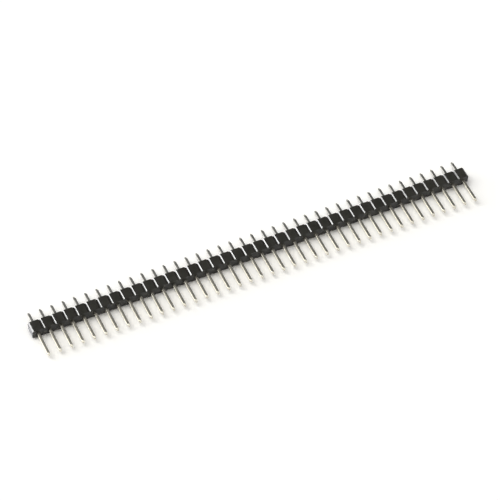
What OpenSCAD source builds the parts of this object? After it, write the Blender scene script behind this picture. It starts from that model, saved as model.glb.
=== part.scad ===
// Single-row pin header strip.
//
// A moulded insulator carries a row of square metal pins. The strip lies on one
// long side: X runs along the row, the long mating ends of the pins point to -Y,
// the short solder tails point to +Y, and the insulator's underside is at Z = 0.
// The origin is on that underside, below the middle of the strip's whole length
// and width.
// The insulator is notched on both long sides between one pin and the next, so
// that each pin sits in an octagonal unit and the strip snaps to length.

/* [Row] */
// Number of pins in the row
pin_count = 40; // [2:1:50]
// Distance from one pin to the next
pitch = 2.54; // [2:0.01:3.5]

/* [Insulator] */
// Size across the row, from one long side to the other
body_height = 2.5; // [2:0.05:4]
// Size along the pins, from the seat face to the mating face
body_depth = 2.54; // [1.5:0.01:6]
// Width of the slope on each side of a break notch
notch_run = 0.36; // [0.2:0.01:0.6]
// Depth of a break notch
notch_depth = 0.36; // [0.2:0.01:0.6]
// Size of the lead-in slope round each pin, at the mating face
lead_in = 0.06; // [0.05:0.01:0.25]

/* [Pins] */
// Width across the flats of the square pin
pin_width = 0.64; // [0.4:0.01:0.8]
// Length of the mating end that stands out of the insulator
mating_length = 6.1; // [3:0.1:15]
// Length of the solder tail that stands out of the insulator
tail_length = 3.0; // [2:0.1:12]
// Length of the four slopes that point each end of the pin
tip_length = 0.6; // [0.2:0.05:1]
// Width of the small square flat left at each end of the pin
tip_flat = 0.3; // [0.15:0.01:0.38]

/* [Fit] */
// Gap on each side between a pin and its hole, nil where the pin is pressed in
pin_clearance = 0; // [0:0.01:0.05]

/* [Hidden] */
row_length = pin_count * pitch;
pin_z = body_height / 2;
// Y = 0 is half way along the pins, so that the origin is under the strip's middle
pin_length = mating_length + body_depth + tail_length;
mating_tip_y = -pin_length / 2;
mating_face_y = mating_tip_y + mating_length;
seat_face_y = mating_face_y + body_depth;
tail_tip_y = seat_face_y + tail_length;
hole_width = pin_width + 2 * pin_clearance;
mouth_width = hole_width + 2 * lead_in;
// How far a cutting shape runs past the face that it opens
cut_past = 0.5;

// Place of a pin along the row, counted from 1 at the -X end
function pin_x(i) = (i - 0.5) * pitch - row_length / 2;

// Name of a pin's node, with two figures so that the pins list in order
function pin_name(i) = str("pin_", i < 10 ? "0" : "", i);

// Section of the insulator, seen along the pins: out along the underside and
// back along the top, with one notch after each unit and half a notch at each end
module insulator_section() {
    half = pitch / 2;
    polygon([
        [-row_length / 2, notch_depth],
        for (i = [1:pin_count]) each [
            [pin_x(i) - half + notch_run, 0],
            [pin_x(i) + half - notch_run, 0],
            [pin_x(i) + half, notch_depth],
        ],
        [row_length / 2, body_height - notch_depth],
        for (i = [pin_count:-1:1]) each [
            [pin_x(i) + half - notch_run, body_height],
            [pin_x(i) - half + notch_run, body_height],
            [pin_x(i) - half, body_height - notch_depth],
        ],
    ]);
}

// A solid of square section that shows the given profile from above and from
// the side. The profile runs along Y, is symmetrical and is no wider than width.
module square_section(width) {
    intersection() {
        translate([0, 0, -width / 2])
            linear_extrude(height = width)
                children();
        rotate([0, 90, 0])
            translate([0, 0, -width / 2])
                linear_extrude(height = width)
                    children();
    }
}

// Cutting shape for one hole: straight through, and flared at the mating face
module pin_hole() {
    flare_width = mouth_width + 2 * cut_past;
    translate([-hole_width / 2, mating_face_y - cut_past, -hole_width / 2])
        cube([hole_width, body_depth + 2 * cut_past, hole_width]);
    square_section(flare_width)
        polygon([
            [-flare_width / 2, mating_face_y - cut_past],
            [flare_width / 2, mating_face_y - cut_past],
            [hole_width / 2, mating_face_y + lead_in],
            [-hole_width / 2, mating_face_y + lead_in],
        ]);
}

// The moulded strip, with one hole through each unit
module insulator() {
    color([0.05, 0.05, 0.055])
        difference() {
            translate([0, seat_face_y, 0])
                rotate([90, 0, 0])
                    linear_extrude(height = body_depth)
                        insulator_section();
            for (i = [1:pin_count])
                translate([pin_x(i), 0, pin_z])
                    pin_hole();
        }
}

// One pin, pressed through its hole: straight wire with four slopes at each end
module pin(i) {
    half = pin_width / 2;
    flat = tip_flat / 2;
    color([0.62, 0.56, 0.40])
        translate([pin_x(i), 0, pin_z])
            square_section(pin_width)
                polygon([
                    [-half, mating_tip_y + tip_length],
                    [-flat, mating_tip_y],
                    [flat, mating_tip_y],
                    [half, mating_tip_y + tip_length],
                    [half, tail_tip_y - tip_length],
                    [flat, tail_tip_y],
                    [-flat, tail_tip_y],
                    [-half, tail_tip_y - tip_length],
                ]);
}

insulator();
for (i = [1:pin_count])
    pin(i);
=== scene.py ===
import math

import bmesh
import bpy
from mathutils import Matrix, Vector


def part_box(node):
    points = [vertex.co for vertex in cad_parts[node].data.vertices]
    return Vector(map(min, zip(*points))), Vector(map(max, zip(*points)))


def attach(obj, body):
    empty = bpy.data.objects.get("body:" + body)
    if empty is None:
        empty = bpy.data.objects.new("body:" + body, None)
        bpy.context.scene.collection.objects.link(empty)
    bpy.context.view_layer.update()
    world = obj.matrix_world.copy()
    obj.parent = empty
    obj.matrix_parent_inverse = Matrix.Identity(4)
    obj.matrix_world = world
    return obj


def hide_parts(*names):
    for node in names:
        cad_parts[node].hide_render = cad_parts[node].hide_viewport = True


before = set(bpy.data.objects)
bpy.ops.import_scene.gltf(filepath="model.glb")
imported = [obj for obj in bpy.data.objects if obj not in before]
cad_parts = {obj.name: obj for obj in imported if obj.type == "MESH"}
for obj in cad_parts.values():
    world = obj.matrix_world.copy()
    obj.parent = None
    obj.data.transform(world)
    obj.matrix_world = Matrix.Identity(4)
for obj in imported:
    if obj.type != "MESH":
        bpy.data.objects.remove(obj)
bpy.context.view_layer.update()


# ---- Insulator ----
# The insulator is one black moulding of glass-filled polyester, shot in one piece for the whole
# row. It is notched on both long sides between one pin and the next, where it is snapped to
# length, and each hole is flared at the mating face, where the pin is pressed in.

METRE = 1000.0           # the pieces are shaped in millimetres, then brought to metres

insulator_low, insulator_high = (METRE * Vector(corner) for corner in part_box("insulator"))
insulator_size = insulator_high - insulator_low
insulator_middle = (insulator_low + insulator_high) / 2

pin_nodes = sorted(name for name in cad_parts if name.startswith("pin_"))
pin_low, pin_high = (METRE * Vector(corner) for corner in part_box(pin_nodes[0]))
pin_width = pin_high.x - pin_low.x
pitch = insulator_size.x / len(pin_nodes)
first_pin = insulator_low.x + pitch / 2

notch = 0.36             # depth of a break notch, and the width of each of its slopes
lead_in = 0.06           # size of the flare round a pin
moulded_edge = 0.05      # radius that the mould leaves on an outside edge
edge_steps = 4           # flat strips that make up a rounding
hard_angle = math.radians(30)    # faces that meet at more than this meet in a hard edge
same_point = 1e-4                # points closer than this are one
straight = 0.99                  # how nearly an edge or a normal has to follow an axis
plastic_ior = 1.38               # lower than a real moulding's, which keeps the black dark


def lies_along(edge, axis):
    """True for an edge that runs along the given axis."""
    return abs((edge.verts[1].co - edge.verts[0].co).normalized()[axis]) > straight


def faces_towards(shape, axis, sign):
    """The faces of a shape that look along the given axis."""
    return [face for face in shape.faces if face.normal[axis] * sign > straight]


def round_edges(shape, edges, radius):
    """A small rounding on hard edges."""
    bmesh.ops.bevel(shape, geom=edges, offset=radius, offset_type="OFFSET", segments=edge_steps,
                    profile=0.5, affect="EDGES", clamp_overlap=True, material=-1)


def cut_faces(shape, faces, axis, place):
    """Cuts the given faces at one place along an axis."""
    geom = {part for face in faces for part in (face, *face.edges, *face.verts)}
    point = Vector((0, 0, 0))
    point[axis] = place
    normal = Vector((0, 0, 0))
    normal[axis] = 1.0
    bmesh.ops.bisect_plane(shape, geom=list(geom), dist=same_point, plane_co=point,
                           plane_no=normal)


def mark_square(shape, sign, centre, width):
    """Cuts a square in the mating or the seat face of one unit, and returns the square."""
    def unit_faces():
        return [face for face in faces_towards(shape, 1, sign)
                if abs(face.calc_center_median().x - centre.x) < pitch / 2]

    for axis in (0, 2):
        for side in (-1, 1):
            cut_faces(shape, unit_faces(), axis, centre[axis] + side * width / 2)
    return min(unit_faces(), key=lambda face: (face.calc_center_median() - centre).xz.length)


def open_hole(shape, centre):
    """One pin's hole: flared at the mating face and straight from there to the seat face."""
    mouth = mark_square(shape, -1, centre, pin_width + 2 * lead_in)
    bmesh.ops.inset_region(shape, faces=[mouth], thickness=lead_in, depth=-lead_in,
                           use_boundary=True, use_even_offset=True)
    outlet = mark_square(shape, 1, centre, pin_width)
    rims = list(mouth.edges) + list(outlet.edges)
    bmesh.ops.delete(shape, geom=[mouth, outlet], context="FACES_ONLY")
    bmesh.ops.bridge_loops(shape, edges=rims)


def finished_piece(name, shape):
    """Brings a shape from millimetres to metres and makes it an object of the scene. Rounded
    edges are shaded smooth, and the flat faces between them stay flat."""
    bmesh.ops.recalc_face_normals(shape, faces=shape.faces)
    for face in shape.faces:
        face.smooth = True
    for edge in shape.edges:
        edge.smooth = edge.calc_face_angle(0) < hard_angle
    bmesh.ops.scale(shape, vec=(1 / METRE,) * 3, verts=shape.verts)
    mesh = bpy.data.meshes.new(name)
    shape.to_mesh(mesh)
    shape.free()
    piece = bpy.data.objects.new(name, mesh)
    bpy.context.collection.objects.link(piece)
    flats = piece.modifiers.new("flat_faces", "WEIGHTED_NORMAL")
    flats.keep_sharp = True
    return piece


def insulator_shape():
    """The notched bar with its row of holes."""
    shape = bmesh.new()
    bmesh.ops.create_cube(shape, size=1.0)
    bmesh.ops.scale(shape, vec=(pitch, insulator_size.y, insulator_size.z), verts=shape.verts)
    bmesh.ops.bevel(shape, geom=[edge for edge in shape.edges if lies_along(edge, 1)],
                    offset=notch, offset_type="OFFSET", segments=1, profile=0.5,
                    affect="EDGES", material=-1)
    sides = faces_towards(shape, 0, -1) + faces_towards(shape, 0, 1)
    bmesh.ops.delete(shape, geom=sides, context="FACES_ONLY")
    bmesh.ops.translate(shape, vec=(first_pin, insulator_middle.y, insulator_middle.z),
                        verts=shape.verts)

    # the other units follow the first, and the two ends of the row are closed
    bmesh.ops.spin(shape, geom=shape.verts[:] + shape.edges[:] + shape.faces[:],
                   cent=(0, 0, 0), axis=(1, 0, 0), dvec=(pitch, 0, 0), angle=0.0,
                   steps=len(pin_nodes) - 1, use_duplicate=True)
    bmesh.ops.remove_doubles(shape, verts=shape.verts, dist=same_point)
    bmesh.ops.holes_fill(shape, edges=[edge for edge in shape.edges if edge.is_boundary], sides=0)
    bmesh.ops.recalc_face_normals(shape, faces=shape.faces)

    hard = [edge for edge in shape.edges if edge.calc_face_angle(0) > hard_angle]
    round_edges(shape, hard, moulded_edge)
    for number in range(len(pin_nodes)):
        open_hole(shape, Vector((first_pin + number * pitch, insulator_middle.y,
                                 insulator_middle.z)))
    return shape


def black_moulding():
    """Black glass-filled plastic: a low sheen, faint flow marks and a fine grain."""
    material = bpy.data.materials.new("black_moulding")
    material.use_nodes = True
    nodes, links = material.node_tree.nodes, material.node_tree.links
    shader = nodes["Principled BSDF"]
    shader.inputs["IOR"].default_value = plastic_ior
    place = nodes.new("ShaderNodeTexCoord")

    flow = nodes.new("ShaderNodeTexNoise")
    flow.inputs["Scale"].default_value = 420.0
    flow.inputs["Detail"].default_value = 4.0
    flow.inputs["Distortion"].default_value = 0.6
    links.new(place.outputs["Object"], flow.inputs["Vector"])

    tint = nodes.new("ShaderNodeValToRGB")
    tint.color_ramp.elements[0].position = 0.3
    tint.color_ramp.elements[0].color = (0.024, 0.023, 0.019, 1)
    tint.color_ramp.elements[1].position = 0.7
    tint.color_ramp.elements[1].color = (0.035, 0.034, 0.029, 1)
    links.new(flow.outputs["Fac"], tint.inputs["Fac"])
    links.new(tint.outputs["Color"], shader.inputs["Base Color"])

    sheen = nodes.new("ShaderNodeMapRange")
    sheen.inputs["To Min"].default_value = 0.16
    sheen.inputs["To Max"].default_value = 0.26
    links.new(flow.outputs["Fac"], sheen.inputs["Value"])
    links.new(sheen.outputs["Result"], shader.inputs["Roughness"])

    grain = nodes.new("ShaderNodeTexNoise")
    grain.inputs["Scale"].default_value = 9000.0
    grain.inputs["Detail"].default_value = 3.0
    links.new(place.outputs["Object"], grain.inputs["Vector"])
    relief = nodes.new("ShaderNodeBump")
    relief.inputs["Strength"].default_value = 0.25
    relief.inputs["Distance"].default_value = 0.000004
    links.new(grain.outputs["Fac"], relief.inputs["Height"])
    links.new(relief.outputs["Normal"], shader.inputs["Normal"])
    return material


def snapped_face_painted_pale():
    """The grainy face that is left where the strip was snapped off a longer one. Its grain is the
    break's own, and its pale grey is partly painted light, standing in for the strong light from
    the left that falls on it.
    """
    material = bpy.data.materials.new("snapped_face_painted_pale")
    material.use_nodes = True
    nodes, links = material.node_tree.nodes, material.node_tree.links
    shader = nodes["Principled BSDF"]
    shader.inputs["IOR"].default_value = plastic_ior
    shader.inputs["Roughness"].default_value = 0.45
    place = nodes.new("ShaderNodeTexCoord")
    crumbs = nodes.new("ShaderNodeTexNoise")
    crumbs.inputs["Scale"].default_value = 1600.0
    crumbs.inputs["Detail"].default_value = 5.0
    links.new(place.outputs["Object"], crumbs.inputs["Vector"])
    # the grey of the break is partly painted light: paler than the real snapped face, for the
    # strong light from the left
    tint = nodes.new("ShaderNodeValToRGB")
    tint.color_ramp.elements[0].position = 0.35
    tint.color_ramp.elements[0].color = (0.17, 0.17, 0.18, 1)
    tint.color_ramp.elements[1].position = 0.65
    tint.color_ramp.elements[1].color = (0.36, 0.36, 0.38, 1)
    links.new(crumbs.outputs["Fac"], tint.inputs["Fac"])
    links.new(tint.outputs["Color"], shader.inputs["Base Color"])
    relief = nodes.new("ShaderNodeBump")
    relief.inputs["Strength"].default_value = 0.6
    relief.inputs["Distance"].default_value = 0.00004
    links.new(crumbs.outputs["Fac"], relief.inputs["Height"])
    links.new(relief.outputs["Normal"], shader.inputs["Normal"])
    return material


insulator = finished_piece("moulded_insulator", insulator_shape())
insulator.data.materials.append(black_moulding())
insulator.data.materials.append(snapped_face_painted_pale())
for face in insulator.data.polygons:     # the two end faces show the snapped plastic, made paler by painted light
    if abs(face.normal.x) > straight:
        face.material_index = 1
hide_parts("insulator")
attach(insulator, "root")


# ---- Pins ----
# Each pin is square brass wire, pointed at both ends in a coining tool. The long mating end has a
# thin gold flash and the short solder tail is tinned, and the two coats meet inside the insulator,
# where the pin is pressed through its hole.

tip_length = 0.6         # length of the four slopes at each end
tip_flat = 0.3           # width of the small square left at the point
drawn_edge = 0.10        # radius that the drawing die leaves on the wire's corners
slight_angle = 0.1       # radians; the slopes meet the sides at more than this
coats_meet = 0.5         # the two coats blend this far either side of the insulator's middle
colour_a, colour_b, colour_out = 6, 7, 2     # the colour sockets of a Mix node


def pin_shape(low, high):
    """One pin between the given corners: straight wire with four slopes at each end."""
    length = high.y - low.y
    shape = bmesh.new()
    bmesh.ops.create_cube(shape, size=1.0)
    bmesh.ops.scale(shape, vec=(pin_width, length - 2 * tip_length, pin_width),
                    verts=shape.verts)
    for sign in (-1, 1):
        ends = faces_towards(shape, 1, sign)
        point = bmesh.ops.extrude_discrete_faces(shape, faces=ends)["faces"][0]
        taper = tip_flat / pin_width
        bmesh.ops.scale(shape, vec=(taper, 1, taper), verts=point.verts)
        bmesh.ops.translate(shape, vec=(0, sign * tip_length, 0), verts=point.verts)
    round_edges(shape, [edge for edge in shape.edges if edge.calc_face_angle(0) > slight_angle],
                drawn_edge)
    bmesh.ops.translate(shape, vec=(low + high) / 2, verts=shape.verts)
    return shape


def plated_brass():
    """Drawn brass wire, with a pale gold flash in front of the insulator and tin behind it."""
    material = bpy.data.materials.new("plated_brass")
    material.use_nodes = True
    nodes, links = material.node_tree.nodes, material.node_tree.links
    shader = nodes["Principled BSDF"]
    shader.inputs["Metallic"].default_value = 1.0
    place = nodes.new("ShaderNodeTexCoord")

    patch = nodes.new("ShaderNodeTexNoise")
    patch.inputs["Scale"].default_value = 500.0
    patch.inputs["Detail"].default_value = 3.0
    links.new(place.outputs["Object"], patch.inputs["Vector"])
    coats = []
    for dull, bright in (((0.78, 0.74, 0.63, 1), (0.86, 0.82, 0.71, 1)),
                         ((0.58, 0.57, 0.53, 1), (0.67, 0.66, 0.615, 1))):
        coat = nodes.new("ShaderNodeValToRGB")
        coat.color_ramp.elements[0].position = 0.3
        coat.color_ramp.elements[0].color = dull
        coat.color_ramp.elements[1].position = 0.7
        coat.color_ramp.elements[1].color = bright
        links.new(patch.outputs["Fac"], coat.inputs["Fac"])
        coats.append(coat)
    place_along = nodes.new("ShaderNodeSeparateXYZ")
    links.new(place.outputs["Object"], place_along.inputs["Vector"])
    behind = nodes.new("ShaderNodeMapRange")
    behind.inputs["From Min"].default_value = (insulator_middle.y - coats_meet) / METRE
    behind.inputs["From Max"].default_value = (insulator_middle.y + coats_meet) / METRE
    links.new(place_along.outputs["Y"], behind.inputs["Value"])
    plating = nodes.new("ShaderNodeMix")
    plating.data_type = "RGBA"
    links.new(behind.outputs["Result"], plating.inputs["Factor"])
    links.new(coats[0].outputs["Color"], plating.inputs[colour_a])
    links.new(coats[1].outputs["Color"], plating.inputs[colour_b])
    links.new(plating.outputs[colour_out], shader.inputs["Base Color"])

    along = nodes.new("ShaderNodeMapping")
    along.inputs["Scale"].default_value = (1.0, 0.04, 1.0)
    links.new(place.outputs["Object"], along.inputs["Vector"])
    lines = nodes.new("ShaderNodeTexNoise")
    lines.inputs["Scale"].default_value = 14000.0
    lines.inputs["Detail"].default_value = 2.0
    links.new(along.outputs["Vector"], lines.inputs["Vector"])
    polish = nodes.new("ShaderNodeMapRange")
    polish.inputs["To Min"].default_value = 0.22
    polish.inputs["To Max"].default_value = 0.30
    links.new(lines.outputs["Fac"], polish.inputs["Value"])
    links.new(polish.outputs["Result"], shader.inputs["Roughness"])
    relief = nodes.new("ShaderNodeBump")
    relief.inputs["Strength"].default_value = 0.02
    relief.inputs["Distance"].default_value = 0.000001
    links.new(lines.outputs["Fac"], relief.inputs["Height"])
    links.new(relief.outputs["Normal"], shader.inputs["Normal"])
    return material


pin_finish = plated_brass()
for node in pin_nodes:
    low, high = (METRE * Vector(corner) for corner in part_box(node))
    pin = finished_piece(node.replace("pin_", "wire_pin_"), pin_shape(low, high))
    pin.data.materials.append(pin_finish)
    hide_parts(node)
    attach(pin, "root")


# ---- Floor ----
# The strip lies on a plain matt white table top, which is only its stage. Its colour is a little
# over white to the camera and where the pieces mirror it, so that it looks overexposed and still
# keeps the shadow.

floor_reach = 3.0        # metres from the strip to the edge of the table top

table_top = bmesh.new()
bmesh.ops.create_grid(table_top, x_segments=1, y_segments=1, size=floor_reach)
floor_mesh = bpy.data.meshes.new("table_top")
table_top.to_mesh(floor_mesh)
table_top.free()
floor = bpy.data.objects.new("table_top", floor_mesh)
bpy.context.collection.objects.link(floor)
matt_white = bpy.data.materials.new("matt_white")
matt_white.use_nodes = True
nodes, links = matt_white.node_tree.nodes, matt_white.node_tree.links
ray = nodes.new("ShaderNodeLightPath")
seen_by = nodes.new("ShaderNodeMix")
seen_by.data_type = "RGBA"
seen_by.inputs[colour_a].default_value = (0.90, 0.90, 0.90, 1)     # to the light that falls on it
seen_by.inputs[colour_b].default_value = (1.22, 1.22, 1.22, 1)     # mirrored in the pieces
links.new(ray.outputs["Is Glossy Ray"], seen_by.inputs["Factor"])
white = nodes.new("ShaderNodeMix")
white.data_type = "RGBA"
white.inputs[colour_b].default_value = (1.22, 1.21, 1.175, 1)      # to the camera
links.new(ray.outputs["Is Camera Ray"], white.inputs["Factor"])
links.new(seen_by.outputs[colour_out], white.inputs[colour_a])
paint = nodes.new("ShaderNodeBsdfDiffuse")
links.new(white.outputs[colour_out], paint.inputs["Color"])
links.new(paint.outputs["BSDF"], nodes["Material Output"].inputs["Surface"])
floor.data.materials.append(matt_white)


# ---- Light ----
# The strip stands in a soft pale room whose ceiling is bright in a band over the row. One broad
# lamp hangs behind its left end, and a small low one there lights only the insulator, so that the
# slopes of its break notches shine as fine lines.

lamp_distance = 4.0      # metres from the strip to each lamp


def direction_to(azimuth, elevation):
    """Unit vector out from the strip. Azimuth 0 is in front of it, 90 is to its right."""
    turn, rise = math.radians(azimuth), math.radians(elevation)
    return Vector((math.sin(turn) * math.cos(rise), -math.cos(turn) * math.cos(rise),
                   math.sin(rise)))


def soft_lamp(name, azimuth, elevation, wide, deep, brightness):
    """An oval lamp that faces the strip, with its wide way along the row. Wide and deep are half
    the angles that it fills as the strip sees it, and a brightness of 1 looks white."""
    lamp = bpy.data.lights.new(name, "AREA")
    lamp.shape = "ELLIPSE"
    half_width = lamp_distance * math.tan(math.radians(wide))
    half_depth = lamp_distance * math.tan(math.radians(deep))
    lamp.size = 2 * half_width
    lamp.size_y = 2 * half_depth
    lamp.energy = brightness * math.pi * math.pi * half_width * half_depth
    holder = bpy.data.objects.new(name, lamp)
    out = direction_to(azimuth, elevation)
    side = (Vector((1, 0, 0)) - out * out.x).normalized()
    holder.matrix_world = (Matrix.Translation(out * lamp_distance)
                           @ Matrix((side, out.cross(side), out)).transposed().to_4x4())
    holder.visible_camera = False
    bpy.context.collection.objects.link(holder)
    return holder


soft_lamp("overhead_lamp", azimuth=-122, elevation=62, wide=17, deep=15, brightness=1.8)
# the rim lamp is far brighter than white, because black plastic mirrors little, and the pins and
# the floor aren't lit by it
rim_lamp = soft_lamp("rim_lamp", azimuth=-123, elevation=16, wide=6, deep=6, brightness=50.0)
rim_lit = bpy.data.collections.new("rim_lit")
rim_lit.objects.link(insulator)
rim_lamp.light_linking.receiver_collection = rim_lit

# the room is turned against the row. Its ceiling is bright in a broad band, most of all on the
# left, and dark before and behind it. The wall behind the row's right end is pale grey
room_turn = math.radians(30)

room = bpy.data.worlds.new("soft_room")
room.use_nodes = True
nodes, links = room.node_tree.nodes, room.node_tree.links
look = nodes.new("ShaderNodeTexCoord")
turned = nodes.new("ShaderNodeMapping")
turned.inputs["Rotation"].default_value = (0, 0, room_turn)
links.new(look.outputs["Generated"], turned.inputs["Vector"])
parts = nodes.new("ShaderNodeSeparateXYZ")
links.new(turned.outputs["Vector"], parts.inputs["Vector"])


def fade(way, start, end, at_start, at_end):
    """A level that goes smoothly from one value to another along one way of the room."""
    step = nodes.new("ShaderNodeMapRange")
    step.interpolation_type = "SMOOTHSTEP"
    step.inputs["From Min"].default_value = start
    step.inputs["From Max"].default_value = end
    step.inputs["To Min"].default_value = at_start
    step.inputs["To Max"].default_value = at_end
    links.new(parts.outputs[way], step.inputs["Value"])
    return step.outputs["Result"]


def joined(how, first, second):
    """Two levels of the room multiplied or added."""
    both = nodes.new("ShaderNodeMath")
    both.operation = how
    links.new(first, both.inputs[0])
    links.new(second, both.inputs[1])
    return both.outputs["Value"]


behind_the_row = fade("Y", 0.24, 0.52, at_start=1.0, at_end=0.05)
before_the_row = fade("Y", -0.45, -0.10, at_start=0.06, at_end=1.0)
left_to_right = fade("X", -0.70, 0.40, at_start=2.6, at_end=0.95)
band = joined("MULTIPLY", joined("MULTIPLY", behind_the_row, before_the_row), left_to_right)
far_right = fade("Y", 0.76, 0.88, at_start=0.0, at_end=0.5)
ceiling = joined("ADD", band, far_right)
# the walls are white just above the floor, and the camera sees a plain white room
walls = nodes.new("ShaderNodeMix")
walls.inputs["A"].default_value = 1.0
links.new(fade("Z", 0.04, 0.10, at_start=0.0, at_end=1.0), walls.inputs["Factor"])
links.new(ceiling, walls.inputs["B"])
to_camera = nodes.new("ShaderNodeMix")
to_camera.inputs["B"].default_value = 1.0
links.new(walls.outputs["Result"], to_camera.inputs["A"])
links.new(nodes.new("ShaderNodeLightPath").outputs["Is Camera Ray"], to_camera.inputs["Factor"])
links.new(to_camera.outputs["Result"], nodes["Background"].inputs["Color"])
bpy.context.scene.world = room


# ---- Camera ----
# The camera looks down on the row from the front, a little to its left, from far enough away
# that the strip is drawn with little taper.

camera_azimuth = -28.2
camera_elevation = 53.3
camera_distance = 0.539  # metres
camera_roll = 3.54
camera_lens = 184.0      # millimetres
aim = Vector((-0.000604, 0.002005, 0.00127))     # the middle of the view

camera = bpy.data.objects.new("camera", bpy.data.cameras.new("camera"))
camera.data.lens = camera_lens
camera.data.clip_start = 0.01
camera.data.clip_end = 20.0
back = direction_to(camera_azimuth, camera_elevation)
camera.location = aim + back * camera_distance
camera.rotation_euler = (back.to_track_quat("Z", "Y").to_matrix()
                         @ Matrix.Rotation(math.radians(camera_roll), 3, "Z")).to_euler()
bpy.context.collection.objects.link(camera)
bpy.context.scene.camera = camera
bpy.context.scene.view_settings.view_transform = "Standard"
